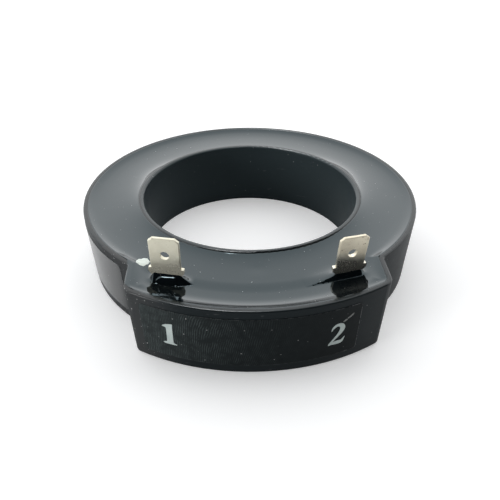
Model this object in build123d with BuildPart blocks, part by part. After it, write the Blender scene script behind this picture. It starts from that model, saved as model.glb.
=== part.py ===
"""Potted ring current transformer with two tab terminals.

A black trough moulding holds a cased ring core with its secondary winding.
The trough is filled with resin, and two stamped tabs stand out of the resin
over a boss at the front.  The conductors pass through the bore.

Frame: millimetres, +Z up, the origin on the bore axis in the base plane.
The boss and the terminals are on the -Y side.
"""

import os
from math import asin, cos, degrees, radians, sin, sqrt, tan

from build123d import *

os.makedirs("parts", exist_ok=True)

# ---------------------------------------------------------------------------
# Driving dimensions
# ---------------------------------------------------------------------------

# Bore tube and walls of the housing
bore_radius = 26.7
bore_wall = 1.5
outer_wall = 1.2
floor_thickness = 1.5
wall_draft = 3.8  # degrees, outside wall and its inside face
lip_round = 0.7  # top edge of the bore tube
rim_round = 0.4  # top edges of the outside wall
foot_round = 0.5  # bottom edge of the outside wall

# Ring core and its case, from the bore outwards
potting_gap = 0.4
tape_thickness = 0.2
winding_build = 0.8
case_wall = 0.9
core_slack = 0.3
core_width = 5.0
outside_gap = 1.27  # resin outside the tape, at the floor

# The same stack, from the floor upwards
support_height = 1.0
pad_thickness = 0.4
core_height = 6.8
resin_cover = 2.0
freeboard = 1.1  # rim above the resin

# Edges of the ring pieces
core_edge = 0.3
case_round = 0.8
lap_height = 1.2  # half-lap joint between tray and lid
pad_inset = 0.4

# Start and finish of the winding
winding_gap_angle = 9.0  # degrees, centred on the boss
lead_exit_angle = 8.0  # degrees, each side of the boss centre

# Front boss
terminal_pitch = 37.4
terminal_setback = 2.2  # terminal middle outside the tape
boss_front_margin = 8.2  # terminal middle to the boss front
boss_side_margin = 8.6  # terminal middle to the boss side
boss_corner_round = 3.0
boss_root_round = 1.2

# Core support ribs
rib_count = 8
rib_width = 1.4

# Tab terminals, 6.3 x 0.8
tab_width = 6.3
tab_thickness = 0.8
tab_length = 7.5  # tip above the shoulders
tab_hole_radius = 1.0
tab_hole_from_tip = 4.15
tab_tip_chamfer = 0.85
tab_tip_slope = 0.7
tab_edge_bevel = 0.15
shoulder_reach = 0.6  # beyond the tab's side
shoulder_height = 1.0
shoulder_clear = 1.0  # shoulder above the bend
shoulder_round = 0.25
neck_width = 5.8
neck_depth = 2.2  # below the bend
leg_width = 3.6
leg_length = 12.1  # below the bend
foot_width = 2.8
foot_length = 2.0

# How each tab stands, as fitted by hand: bend above the resin, then degrees
terminal_lift = {1: 1.1, 2: 0.75}
terminal_turn = {1: 12.2, 2: 14.1}  # faces away from the boss centre
terminal_lean = {1: 0.4, 2: 0.9}  # towards +X
tab_pitch = {1: 4.6, 2: 7.8}  # tip towards the boss front

# Posts that hold the terminal legs
post_wall = 0.8
post_side_wall = 1.0
post_height = 5.0  # above the floor
slot_fit = 0.05
post_web = 1.2
post_web_height = 3.4

# Leads, sleeves and solder
lead_diameter = 0.7
sleeve_diameter = 1.5
lead_level = 9.6  # above the base plane
lead_first_run = 4.4
lead_side_swing = 3.0
lead_front_swing = 6.2
lead_last_run = 4.4
lead_tail = 0.9
bend_share = 0.45  # of the shorter run beside each bend
wire_hole_radius = 0.6
solder_foot_radius = 1.3
solder_front_height = 1.0
solder_back_height = 0.6
solder_top_radius = 0.5
sleeve_from_solder = 0.4
sleeve_from_tape = 0.15

# Resin surface
meniscus_radius = 1.2
meniscus_rise = 0.9
meniscus_ledge = 0.1
bead_half_length = 3.3
bead_radius = 2.0
bead_across = 0.5  # from the middle of terminal 1
bead_forward = 0.9
bead_sunk = 0.55
dimple_ball = 12.0
dimple_depth = 0.15
dimple_radius = 32.8  # place on the boss centre line

# Labels and paint
label_length = 46.0
label_height = 12.7
label_film = 0.12
label_from_rim = 2.0
label_corner = 0.8
number_label_shift = -2.1  # along the boss front, towards terminal 1
side_label_gap = 1.8  # label edge to the boss side, along the wall
paint_radius = 1.4
paint_height = 0.15
paint_round = 0.1
paint_along = -5.4  # from terminal 1, along X
paint_back = 6.85  # from terminal 1, along Y

# ---------------------------------------------------------------------------
# Sizes that follow from them
# ---------------------------------------------------------------------------

tube_radius = bore_radius + bore_wall
tape_inner = tube_radius + potting_gap
winding_inner = tape_inner + tape_thickness
case_inner = winding_inner + winding_build
core_inner = case_inner + case_wall + core_slack
core_outer = core_inner + core_width
case_outer = core_outer + core_slack + case_wall
winding_outer = case_outer + winding_build
tape_outer = winding_outer + tape_thickness

tape_bottom = floor_thickness + support_height
winding_bottom = tape_bottom + tape_thickness
case_bottom = winding_bottom + winding_build
lower_pad_bottom = case_bottom + case_wall
core_bottom = lower_pad_bottom + pad_thickness
core_top = core_bottom + core_height
case_top = core_top + pad_thickness + case_wall
winding_top = case_top + winding_build
tape_top = winding_top + tape_thickness
resin_level = tape_top + resin_cover
housing_height = resin_level + freeboard

cavity_depth = housing_height - floor_thickness
draft_slope = tan(radians(wall_draft))
rim_radius = tape_outer + outside_gap + cavity_depth * draft_slope + outer_wall

terminal_radius = tape_outer + terminal_setback
terminal_x = terminal_pitch / 2
terminal_y = -sqrt(terminal_radius**2 - terminal_x**2)
boss_radius = terminal_radius + boss_front_margin
boss_width = terminal_pitch + 2 * boss_side_margin

shoulder_top = shoulder_clear + shoulder_height
tab_tip = shoulder_top + tab_length
post_top = floor_thickness + post_height

# Terminal 1 is on the -X side of the boss and terminal 2 on the +X side.
SIDES = {1: -1, 2: 1}

# Reach for picking out edges and corners by their place or size.
same_place = 0.05


def save(part, node):
    """Label a finished piece and write it as its own STEP file."""
    part.label = node
    export_step(part, f"parts/{node}.step")


def wall_radius(top_radius, level):
    """Radius of a drafted outside wall at a level, from its radius at the rim."""
    return top_radius - (housing_height - level) * draft_slope


def terminal_plane(number):
    """Plane of a terminal's leg: X across, Y up, Z outwards, origin at the bend."""
    side = SIDES[number]
    turn = radians(side * terminal_turn[number])
    upright = Plane(
        origin=(side * terminal_x, terminal_y, resin_level + terminal_lift[number]),
        x_dir=(cos(turn), sin(turn), 0),
        z_dir=(sin(turn), -cos(turn), 0),
    )
    return Plane(upright.location * Rotation(0, 0, -terminal_lean[number]))


def tab_plane(number):
    """Plane of a terminal's tab, which is pitched outwards about the bend."""
    return Plane(terminal_plane(number).location * Rotation(tab_pitch[number], 0, 0))


def on_plane(plane, across, up, outward):
    """A point given in a terminal's own plane, in the frame of the whole part."""
    return plane.from_local_coords(Vector(across, up, outward))


# ---------------------------------------------------------------------------
# Outlines of the housing at rim level
# ---------------------------------------------------------------------------

rim_plane = Plane.XY.offset(housing_height)

with BuildSketch(rim_plane) as boss_outline:
    Circle(boss_radius)
    Rectangle(boss_width, boss_radius, align=(Align.CENTER, Align.MAX), mode=Mode.INTERSECT)
    fillet(boss_outline.vertices().sort_by(Axis.Y)[:2], boss_corner_round)

with BuildSketch(rim_plane) as rim_outline:
    Circle(rim_radius)
    add(boss_outline.sketch)
    root_reach = sqrt(rim_radius**2 - (boss_width / 2) ** 2)
    roots = rim_outline.vertices().filter_by(lambda v: abs(v.Y + root_reach) < same_place)
    fillet(roots, boss_root_round)

with BuildSketch(rim_plane) as cavity_outline:
    offset(rim_outline.sketch, amount=-outer_wall, mode=Mode.ADD)

# The trough's inside without its bore tube, used by the housing and the resin.
with BuildPart() as cavity:
    extrude(cavity_outline.sketch, amount=cavity_depth, dir=(0, 0, -1), taper=wall_draft)

# ---------------------------------------------------------------------------
# Terminals
# ---------------------------------------------------------------------------


def mirrored(right_side):
    """Closed outline from its right-hand points, taken from the top down."""
    return right_side + [(-x, y) for x, y in reversed(right_side)]


def terminal_blade(number):
    """Tab above the bend: chamfered tip, hole, bevelled edges and rounded shoulders."""
    plane = tab_plane(number)
    half_tab = tab_width / 2
    half_shoulder = half_tab + shoulder_reach
    outline = [
        (half_tab - tab_tip_chamfer, tab_tip),
        (half_tab, tab_tip - tab_tip_slope),
        (half_tab, shoulder_top),
        (half_shoulder, shoulder_top),
        (half_shoulder, shoulder_clear),
        (neck_width / 2, 0),
    ]
    with BuildPart() as blade:
        with BuildSketch(plane) as profile:
            with BuildLine():
                Polyline(mirrored(outline), close=True)
            make_face()
            corners = profile.vertices().filter_by(lambda v: abs(v.X) > half_shoulder - same_place)
            fillet(corners, shoulder_round)
        extrude(amount=tab_thickness / 2, both=True)
        tab_edges = [
            edge
            for face in blade.faces().filter_by(plane)
            for edge in face.edges()
            if plane.to_local_coords(edge.center()).Y > shoulder_top + tab_edge_bevel
        ]
        chamfer(tab_edges, tab_edge_bevel)
        with Locations(plane):
            with Locations((0, tab_tip - tab_hole_from_tip)):
                Cylinder(tab_hole_radius, 2 * tab_thickness, mode=Mode.SUBTRACT)
    return blade.part


def terminal(number):
    """Stamped terminal: a tab, a rounded bend, a neck and a leg with a wire hole."""
    plane = terminal_plane(number)
    half_neck = neck_width / 2
    half_leg = leg_width / 2
    outline = [
        (half_neck, 0),
        (half_neck, -neck_depth),
        (half_leg, -neck_depth),
        (half_leg, foot_length - leg_length),
        (foot_width / 2, -leg_length),
    ]
    with BuildPart() as blank:
        with BuildSketch(plane):
            with BuildLine():
                Polyline(mirrored(outline), close=True)
            make_face()
        extrude(amount=tab_thickness / 2, both=True)
        with Locations(plane):
            Cylinder(tab_thickness / 2, neck_width, rotation=(0, 90, 0))
            with Locations((0, lead_level - plane.origin.Z)):
                Cylinder(wire_hole_radius, 2 * tab_thickness, mode=Mode.SUBTRACT)
        add(terminal_blade(number))
    return blank.part


terminals = {number: terminal(number) for number in SIDES}

# ---------------------------------------------------------------------------
# Housing
# ---------------------------------------------------------------------------


def post_block(number):
    """Post under a terminal's leg, braced to the front wall by a web, not yet slotted."""
    plane = terminal_plane(number)
    post_plane = Plane(
        origin=(plane.origin.X, plane.origin.Y, floor_thickness),
        x_dir=(plane.x_dir.X, plane.x_dir.Y, 0),
        z_dir=(0, 0, 1),
    )
    length = leg_width + 2 * (slot_fit + post_side_wall)
    thickness = tab_thickness + 2 * (slot_fit + post_wall)
    with BuildPart() as block:
        with BuildSketch(post_plane):
            Rectangle(length, thickness)
        extrude(amount=post_height)
        with BuildSketch(post_plane):
            Rectangle(post_web, boss_radius, align=(Align.CENTER, Align.MAX))
        extrude(amount=post_web_height)
        add(cavity.part, mode=Mode.INTERSECT)
    return block.part


def leg_slot(number):
    """Space that a terminal's leg takes in its post, with the fit all round."""
    plane = terminal_plane(number)
    with BuildPart() as slot:
        with BuildSketch(plane):
            with Locations((0, -leg_length)):
                Rectangle(leg_width + 2 * slot_fit, leg_length, align=(Align.CENTER, Align.MIN))
        extrude(amount=tab_thickness / 2 + slot_fit, both=True)
    return slot.part


post_blocks = [post_block(number) for number in SIDES]
leg_slots = [leg_slot(number) for number in SIDES]

with BuildPart() as support_ribs:
    with BuildSketch(Plane.XY.offset(floor_thickness)):
        with PolarLocations(0, rib_count, start_angle=90 + 180 / rib_count):
            Rectangle(tape_outer, rib_width, align=(Align.MIN, Align.CENTER))
        Circle(tube_radius, mode=Mode.SUBTRACT)
    extrude(amount=support_height)


def on_bore(edge):
    """Whether a round edge lies on the wall of the bore."""
    return abs(edge.radius - bore_radius) < same_place


with BuildPart() as housing:
    extrude(rim_outline.sketch, amount=housing_height, dir=(0, 0, -1), taper=wall_draft)
    fillet(housing.faces().sort_by(Axis.Z)[0].edges(), foot_round)
    add(cavity.part, mode=Mode.SUBTRACT)
    with BuildSketch(Plane.XY):
        Circle(tube_radius)
    extrude(amount=housing_height)
    add(support_ribs.part)
    add(post_blocks)
    add(leg_slots, mode=Mode.SUBTRACT)
    with BuildSketch(Plane.XY):
        Circle(bore_radius)
    extrude(amount=housing_height, mode=Mode.SUBTRACT)
    top_edges = housing.edges().group_by(Axis.Z)[-1]
    mouth = top_edges.filter_by(GeomType.CIRCLE).filter_by(on_bore)
    fillet(top_edges - mouth, rim_round)
    mouth = housing.edges().filter_by(GeomType.CIRCLE).filter_by(on_bore).group_by(Axis.Z)[-1]
    fillet(mouth, lip_round)

save(housing.part, "housing")
for number in SIDES:
    save(terminals[number], f"terminal_{number}")

# ---------------------------------------------------------------------------
# Core, its case and its pads
# ---------------------------------------------------------------------------


def ring(inner, outer, bottom, top):
    """Plain ring about the bore axis."""
    with BuildPart() as body:
        with BuildSketch(Plane.XZ):
            with Locations(((inner + outer) / 2, (bottom + top) / 2)):
                Rectangle(outer - inner, top - bottom)
        revolve(axis=Axis.Z)
    return body


with BuildPart() as core:
    add(ring(core_inner, core_outer, core_bottom, core_top).part)
    fillet(core.edges().filter_by(GeomType.CIRCLE), core_edge)

save(core.part, "core")

pad_inner = core_inner + pad_inset
pad_outer = core_outer - pad_inset
core_pad_lower = ring(pad_inner, pad_outer, lower_pad_bottom, core_bottom)
core_pad_upper = ring(pad_inner, pad_outer, core_top, core_top + pad_thickness)

save(core_pad_lower.part, "core_pad_lower")
save(core_pad_upper.part, "core_pad_upper")

# The tray and the lid meet in a half-lap joint in both walls of the case.
case_mid_wall = case_wall / 2
lid_underside = case_top - case_wall
lap_bottom = lid_underside - lap_height

with BuildPart() as core_case_tray:
    with BuildSketch(Plane.XZ) as tray_section:
        with BuildLine():
            Polyline(
                (case_inner, case_bottom),
                (case_outer, case_bottom),
                (case_outer, lap_bottom),
                (case_outer - case_mid_wall, lap_bottom),
                (case_outer - case_mid_wall, lid_underside),
                (case_outer - case_wall, lid_underside),
                (case_outer - case_wall, lower_pad_bottom),
                (case_inner + case_wall, lower_pad_bottom),
                (case_inner + case_wall, lid_underside),
                (case_inner + case_mid_wall, lid_underside),
                (case_inner + case_mid_wall, lap_bottom),
                (case_inner, lap_bottom),
                close=True,
            )
        make_face()
        fillet(tray_section.vertices().group_by(Axis.Y)[0], case_round)
    revolve(axis=Axis.Z)

with BuildPart() as core_case_lid:
    with BuildSketch(Plane.XZ) as lid_section:
        with BuildLine():
            Polyline(
                (case_inner, case_top),
                (case_inner, lap_bottom),
                (case_inner + case_mid_wall, lap_bottom),
                (case_inner + case_mid_wall, lid_underside),
                (case_outer - case_mid_wall, lid_underside),
                (case_outer - case_mid_wall, lap_bottom),
                (case_outer, lap_bottom),
                (case_outer, case_top),
                close=True,
            )
        make_face()
        fillet(lid_section.vertices().group_by(Axis.Y)[-1], case_round)
    revolve(axis=Axis.Z)

save(core_case_tray.part, "core_case_tray")
save(core_case_lid.part, "core_case_lid")

# ---------------------------------------------------------------------------
# Winding and tape: shells of even thickness round the case
# ---------------------------------------------------------------------------


def section_plane(angle):
    """Upright plane through the bore axis, at an angle from +X."""
    turn = radians(angle)
    return Plane(origin=(0, 0, 0), x_dir=(cos(turn), sin(turn), 0), z_dir=(sin(turn), -cos(turn), 0))


def toroid(grown, hollow, gap=0.0):
    """Rounded ring that follows the case, grown outwards, less a hollow, open at the boss."""
    middle = ((case_inner + case_outer) / 2, (case_bottom + case_top) / 2)
    width = case_outer - case_inner
    height = case_top - case_bottom
    with BuildPart() as body:
        with BuildSketch(section_plane(gap / 2 - 90)):
            with Locations(middle):
                RectangleRounded(width + 2 * grown, height + 2 * grown, case_round + grown)
                if hollow is not None:
                    RectangleRounded(
                        width + 2 * hollow,
                        height + 2 * hollow,
                        case_round + hollow,
                        mode=Mode.SUBTRACT,
                    )
        revolve(axis=Axis.Z, revolution_arc=360 - gap)
    return body


taped = winding_build + tape_thickness
secondary_winding = toroid(winding_build, 0.0, winding_gap_angle)
tape_shell = toroid(taped, winding_build)
wound_envelope = toroid(taped, None)

save(secondary_winding.part, "secondary_winding")

# ---------------------------------------------------------------------------
# Leads, sleeves and solder
# ---------------------------------------------------------------------------


def wire_hole(number):
    """Middle of the wire hole in a terminal's leg."""
    plane = terminal_plane(number)
    return on_plane(plane, 0, lead_level - plane.origin.Z, 0)


def lead_route(number, start_radius, end_outward):
    """Corner points of a lead, level all the way: out of the winding, across, into the leg."""
    side = SIDES[number]
    exit_turn = radians(side * lead_exit_angle)
    hole = wire_hole(number)
    across = Vector(terminal_plane(number).x_dir.X, terminal_plane(number).x_dir.Y, 0).normalized()
    outward = terminal_plane(number).z_dir
    way_out = Vector(sin(exit_turn), -cos(exit_turn), 0)
    level = Vector(0, 0, hole.Z)
    return [
        way_out * start_radius + level,
        way_out * (winding_outer + lead_first_run) + level,
        hole + outward * lead_front_swing - across * side * lead_side_swing,
        hole + outward * lead_last_run,
        hole + outward * end_outward,
    ]


def bend_radii(points):
    """Bend radius at each corner: a share of the shorter run beside it."""
    radii = []
    for before, corner, after in zip(points, points[1:], points[2:]):
        run_in = corner - before
        run_out = after - corner
        half_turn = radians(run_in.get_angle(run_out)) / 2
        radii.append(bend_share * min(run_in.length, run_out.length) / tan(half_turn))
    return radii


def tube(points, radii, diameter):
    """Round bar along a route of straight runs joined by tangent arcs."""
    with BuildPart() as bar:
        with BuildLine():
            FilletPolyline(*points, radius=radii)
        with BuildSketch(Plane(origin=points[0], z_dir=points[1] - points[0])):
            Circle(diameter / 2)
        sweep()
    return bar


leads = {}
sleeve_bars = {}
for number in SIDES:
    route = lead_route(number, winding_outer, -tab_thickness / 2 - lead_tail)
    radii = bend_radii(route)
    print(f"lead_{number} bend radii:", [round(radius, 2) for radius in radii])
    sleeve_end = tab_thickness / 2 + solder_front_height + sleeve_from_solder
    sleeved = lead_route(number, tape_outer + sleeve_from_tape, sleeve_end)
    leads[number] = tube(route, radii, lead_diameter)
    sleeve_bars[number] = tube(sleeved, radii, sleeve_diameter)


def sleeve(number):
    """Insulating tube, tight on its lead."""
    with BuildPart() as body:
        add(sleeve_bars[number].part)
        add(leads[number].part, mode=Mode.SUBTRACT)
    return body


def solder_joint(number):
    """Solder through the wire hole, with a fillet on both faces of the leg."""
    plane = terminal_plane(number)
    face = tab_thickness / 2
    section = Plane(origin=wire_hole(number), x_dir=plane.x_dir, z_dir=-plane.y_dir)
    with BuildPart() as body:
        with BuildSketch(section):
            with BuildLine():
                Polyline(
                    (0, face + solder_front_height),
                    (solder_top_radius, face + solder_front_height),
                    (solder_foot_radius, face),
                    (wire_hole_radius, face),
                    (wire_hole_radius, -face),
                    (solder_foot_radius, -face),
                    (solder_top_radius, -face - solder_back_height),
                    (0, -face - solder_back_height),
                    close=True,
                )
            make_face()
        revolve(axis=Axis(wire_hole(number), plane.z_dir))
        add(leads[number].part, mode=Mode.SUBTRACT)
    return body


sleeves = {number: sleeve(number) for number in SIDES}
solder_joints = {number: solder_joint(number) for number in SIDES}

for number in SIDES:
    save(leads[number].part, f"lead_{number}")
    save(sleeves[number].part, f"sleeve_{number}")
    save(solder_joints[number].part, f"solder_joint_{number}")

with BuildPart() as winding_tape:
    add(tape_shell.part)
    for number in SIDES:
        add(leads[number].part, mode=Mode.SUBTRACT)

save(winding_tape.part, "winding_tape")

# ---------------------------------------------------------------------------
# Resin, cast round everything in the trough
# ---------------------------------------------------------------------------

# Open space above the resin; its rounded lower edges leave the meniscus.
with BuildPart() as pool:
    with BuildSketch(Plane.XY.offset(resin_level)):
        offset(cavity_outline.sketch_local, amount=-meniscus_ledge, mode=Mode.ADD)
        Circle(tube_radius + meniscus_ledge, mode=Mode.SUBTRACT)
    extrude(amount=2 * freeboard)
    fillet(pool.faces().sort_by(Axis.Z)[0].edges(), meniscus_radius)

# Bead of resin along the front foot of terminal 1, an ellipsoid lying across the tab.
bead_plane = terminal_plane(1)
bead_middle = on_plane(bead_plane, bead_across, -terminal_lift[1] - bead_sunk, bead_forward)
with BuildPart() as bead:
    with BuildSketch(Plane(origin=bead_middle, x_dir=bead_plane.x_dir, z_dir=bead_plane.y_dir)):
        Ellipse(bead_half_length, bead_radius)
        Rectangle(2 * bead_half_length, bead_radius, align=(Align.CENTER, Align.MAX), mode=Mode.SUBTRACT)
    revolve(axis=Axis(bead_middle, bead_plane.x_dir))
    split(bisect_by=bead_plane, keep=Keep.TOP)

with BuildPart() as potting_resin:
    add(cavity.part)
    split(bisect_by=Plane.XY.offset(resin_level + meniscus_rise), keep=Keep.BOTTOM)
    with BuildSketch(Plane.XY.offset(floor_thickness)):
        Circle(tube_radius)
    extrude(amount=cavity_depth, mode=Mode.SUBTRACT)
    add(pool.part, mode=Mode.SUBTRACT)
    add(bead.part)
    with Locations((0, -dimple_radius, resin_level + dimple_ball - dimple_depth)):
        Sphere(dimple_ball, mode=Mode.SUBTRACT)
    add([support_ribs.part, wound_envelope.part], mode=Mode.SUBTRACT)
    add(post_blocks, mode=Mode.SUBTRACT)
    for number in SIDES:
        add(terminals[number], mode=Mode.SUBTRACT)
        add(leads[number].part, mode=Mode.SUBTRACT)
        add(sleeve_bars[number].part, mode=Mode.SUBTRACT)
        add(solder_joints[number].part, mode=Mode.SUBTRACT)

save(potting_resin.part, "potting_resin")

# ---------------------------------------------------------------------------
# Labels and paint
# ---------------------------------------------------------------------------

label_top = housing_height - label_from_rim
label_bottom = label_top - label_height


def label_angle(top_radius, length):
    """Angle that a length along the label's middle takes on a drafted wall, in degrees."""
    return degrees(length / wall_radius(top_radius, (label_top + label_bottom) / 2))


def film_label(top_radius, start_angle):
    """Thin film lying on a drafted wall, from a start angle counterclockwise."""
    low = wall_radius(top_radius, label_bottom)
    high = wall_radius(top_radius, label_top)
    with BuildPart() as film:
        with BuildSketch(section_plane(start_angle)):
            with BuildLine():
                Polyline(
                    (low, label_bottom),
                    (low + label_film, label_bottom),
                    (high + label_film, label_top),
                    (high, label_top),
                    close=True,
                )
            make_face()
        revolve(axis=Axis.Z, revolution_arc=label_angle(top_radius, label_length))
        corners = [edge for edge in film.edges() if abs(edge.length - label_film) < same_place]
        fillet(corners, label_corner)
    return film


number_label_middle = label_angle(boss_radius, number_label_shift) - 90
number_label = film_label(boss_radius, number_label_middle - label_angle(boss_radius, label_length) / 2)

boss_root_angle = degrees(asin(boss_width / 2 / rim_radius))
side_label_end = 270 - boss_root_angle - label_angle(rim_radius, boss_root_round + side_label_gap)
side_label = film_label(rim_radius, side_label_end - label_angle(rim_radius, label_length))

save(number_label.part, "number_label")
save(side_label.part, "side_label")

with BuildPart() as paint_dot:
    with BuildSketch(Plane.XY.offset(resin_level)):
        with Locations((paint_along - terminal_x, paint_back + terminal_y)):
            Circle(paint_radius)
    extrude(amount=paint_height)
    fillet(paint_dot.edges().sort_by(Axis.Z)[-1], paint_round)

save(paint_dot.part, "paint_dot")
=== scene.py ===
# %% [markdown]
# # A potted ring current transformer
#
# A black plastic trough, shaped like a ring with a boss on its front, holds a wound core.
# Black resin is poured over the core and sets level, and two flat tin-plated tabs stand up
# out of it.  The conductors that are measured pass through the hole of the ring.
#
# The solid model of the part is loaded first and stays fixed.  The lesson then gives each
# surface its look, and replaces the few solids whose real surface is softer than a solid's.

from math import cos, pi, radians, sin, sqrt, tan

import bpy
import numpy as np
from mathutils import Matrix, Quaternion, Vector


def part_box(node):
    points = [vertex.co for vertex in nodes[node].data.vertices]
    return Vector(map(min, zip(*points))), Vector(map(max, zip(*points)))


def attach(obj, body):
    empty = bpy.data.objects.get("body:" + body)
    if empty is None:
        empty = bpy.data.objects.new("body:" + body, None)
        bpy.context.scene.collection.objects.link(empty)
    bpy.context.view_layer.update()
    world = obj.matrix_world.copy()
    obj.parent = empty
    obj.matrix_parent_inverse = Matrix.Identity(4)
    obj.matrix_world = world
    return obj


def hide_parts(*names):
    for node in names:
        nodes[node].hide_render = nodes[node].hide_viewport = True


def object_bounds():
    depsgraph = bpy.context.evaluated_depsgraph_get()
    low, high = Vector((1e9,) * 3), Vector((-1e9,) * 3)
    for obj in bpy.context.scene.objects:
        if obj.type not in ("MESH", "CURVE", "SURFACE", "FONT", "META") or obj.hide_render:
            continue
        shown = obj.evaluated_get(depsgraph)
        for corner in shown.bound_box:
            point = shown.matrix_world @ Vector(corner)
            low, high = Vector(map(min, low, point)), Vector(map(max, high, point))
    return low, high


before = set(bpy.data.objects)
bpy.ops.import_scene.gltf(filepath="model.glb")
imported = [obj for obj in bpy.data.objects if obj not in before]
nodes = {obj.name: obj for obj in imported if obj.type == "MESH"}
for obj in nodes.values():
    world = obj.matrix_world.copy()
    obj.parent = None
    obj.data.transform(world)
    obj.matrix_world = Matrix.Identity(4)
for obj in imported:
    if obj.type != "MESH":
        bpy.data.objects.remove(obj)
cad_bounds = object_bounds()
mm = 0.001
cad_corners = (np.array(cad_bounds) / mm).round(2).tolist()
print("solid model:", len(nodes), "nodes, corners", cad_corners)


def add_object(name, data):
    """A new object in the scene."""
    made = bpy.data.objects.new(name, data)
    bpy.context.scene.collection.objects.link(made)
    return made


# %% [markdown]
# ## Camera
#
# A small object is best looked at through a longer lens, from a little above, so that the
# tops and the fronts both show.  The camera stands a little to the left of the boss.

# %% Camera
camera_reach = 164.435 * mm
camera_rise = radians(33.531)
camera_turn = radians(2.864)
camera_roll = radians(0.091)
camera_aim = Vector((0.114, -0.067, 0.0)) * mm

camera_data = bpy.data.cameras.new("camera")
camera_data.sensor_width = 36.0
camera_data.lens = 43.762
camera_data.shift_x = -0.00036
camera_data.shift_y = -0.00771
camera_data.clip_start = 0.01
camera_data.clip_end = 20.0

away = Vector((-cos(camera_rise) * sin(camera_turn), -cos(camera_rise) * cos(camera_turn), 0.0))
away.z = sin(camera_rise)
camera = add_object("camera", camera_data)
camera.location = camera_aim + camera_reach * away
level_look = (-away).to_track_quat("-Z", "Y")
camera.rotation_mode = "QUATERNION"
camera.rotation_quaternion = level_look @ Quaternion((0, 0, 1), camera_roll)
bpy.context.scene.camera = camera
print("camera stands at", [round(c / mm, 1) for c in camera.location])

# %% [markdown]
# ## Shader tools
#
# A material is a small network of nodes.  Short helpers add a node, do arithmetic, turn one
# range of values into another or mix two colours, in the tree their values come from.

# %% Node helpers
def feed(socket, value):
    """Links a value that comes from a node, or sets a plain one; a colour is opaque."""
    if isinstance(value, bpy.types.NodeSocket):
        socket.id_data.links.new(value, socket)
    else:
        socket.default_value = (*value, 1.0) if socket.type == "RGBA" else value


def tree_of(*values):
    """The node tree that the first linked one of some values belongs to."""
    return next(value.id_data for value in values if isinstance(value, bpy.types.NodeSocket))


def put(tree, kind, sockets=None, **options):
    """One node: options are its own settings, sockets are links or plain values."""
    node = tree.nodes.new("ShaderNode" + kind)
    for name, value in options.items():
        setattr(node, name, value)
    for name, value in (sockets or {}).items():
        feed(node.inputs[name], value)
    return node


def calc(operation, *values, clamp=False):
    """Result of one arithmetic node."""
    sockets = dict(enumerate(values))
    return put(tree_of(*values), "Math", sockets, operation=operation, use_clamp=clamp).outputs[0]


def times(first, *others, clamp=False):
    """Product of two or more values."""
    for other in others:
        first = calc("MULTIPLY", first, other, clamp=clamp)
    return first


def plus(first, *others, clamp=False):
    """Sum of two or more values."""
    for other in others:
        first = calc("ADD", first, other, clamp=clamp)
    return first


def minus(first, second):
    """First value less the second."""
    return calc("SUBTRACT", first, second)


def span(value, low, high, to_low=0.0, to_high=1.0):
    """Value between low and high, carried smoothly to between to_low and to_high."""
    sockets = {"Value": value, "From Min": low, "From Max": high}
    sockets.update({"To Min": to_low, "To Max": to_high})
    node = put(tree_of(value), "MapRange", sockets, interpolation_type="SMOOTHSTEP")
    return node.outputs["Result"]


def tint(factor, first, second):
    """Colour between first and second; a Mix node numbers its colour sockets 6, 7 and 2."""
    tree = tree_of(factor)
    return put(tree, "Mix", {0: factor, 6: first, 7: second}, data_type="RGBA").outputs[2]


def grey(value, warm=0.0):
    """A neutral colour, or one a little warmer or cooler."""
    return (value * (1 + warm), value, value * (1 - warm))


def open_group(name, inputs, output):
    """An empty node group with float inputs, given with their values, and a float output."""
    tree = bpy.data.node_groups.new(name, "ShaderNodeTree")
    for label, value in inputs.items():
        socket = tree.interface.new_socket(label, in_out="INPUT", socket_type="NodeSocketFloat")
        socket.default_value = value
    tree.interface.new_socket(output, in_out="OUTPUT", socket_type="NodeSocketFloat")
    entry = tree.nodes.new("NodeGroupInput")
    leave = tree.nodes.new("NodeGroupOutput")
    print("group:", name)
    return tree, entry.outputs, leave.inputs[output]


def use_group(tree, group, **values):
    """The output of a group, given its own values."""
    return put(tree, "Group", values, node_tree=group).outputs[0]


def object_place(tree):
    """The point's own place on the object, in metres."""
    return put(tree, "TexCoord").outputs["Object"]


def parts_of(vector):
    """X, Y and Z of a vector."""
    return put(tree_of(vector), "SeparateXYZ", {"Vector": vector}).outputs


def off_axis(place):
    """Distance from the ring's axis: the root of x squared plus y squared."""
    squares = [calc("POWER", place[axis], 2) for axis in "XY"]
    return calc("SQRT", plus(*squares))


print("node helpers ready")

# %% [markdown]
# ## Shared effects
#
# Dust, scratches, uneven tone and grain come back on several surfaces, so each is a node
# group.  Dust is the cells of a Voronoi texture, of which only a few hold a speck.
# Scratches are a noise that is stretched a lot in one direction.

# %% Dust specks
dust_specks, entry, leave = open_group(
    "dust_specks", {"Scale": 900.0, "Share": 0.1, "Size": 0.25}, "Mask"
)
tree = dust_specks
smallest_size = 0.35
faintest = 0.25
edge_sharpness = 9.0
cells = put(tree, "TexVoronoi", {"Vector": object_place(tree), "Scale": entry["Scale"]})
luck = put(tree, "SeparateColor", {"Color": cells.outputs["Color"]}).outputs
chosen = calc("GREATER_THAN", luck["Red"], minus(1.0, entry["Share"]))
own_size = times(entry["Size"], plus(luck["Green"], smallest_size))
edge = minus(own_size, cells.outputs["Distance"])
round_speck = times(edge, edge_sharpness, clamp=True)
strength = times(chosen, plus(luck["Blue"], faintest))
feed(leave, times(round_speck, strength, clamp=True))

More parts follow.
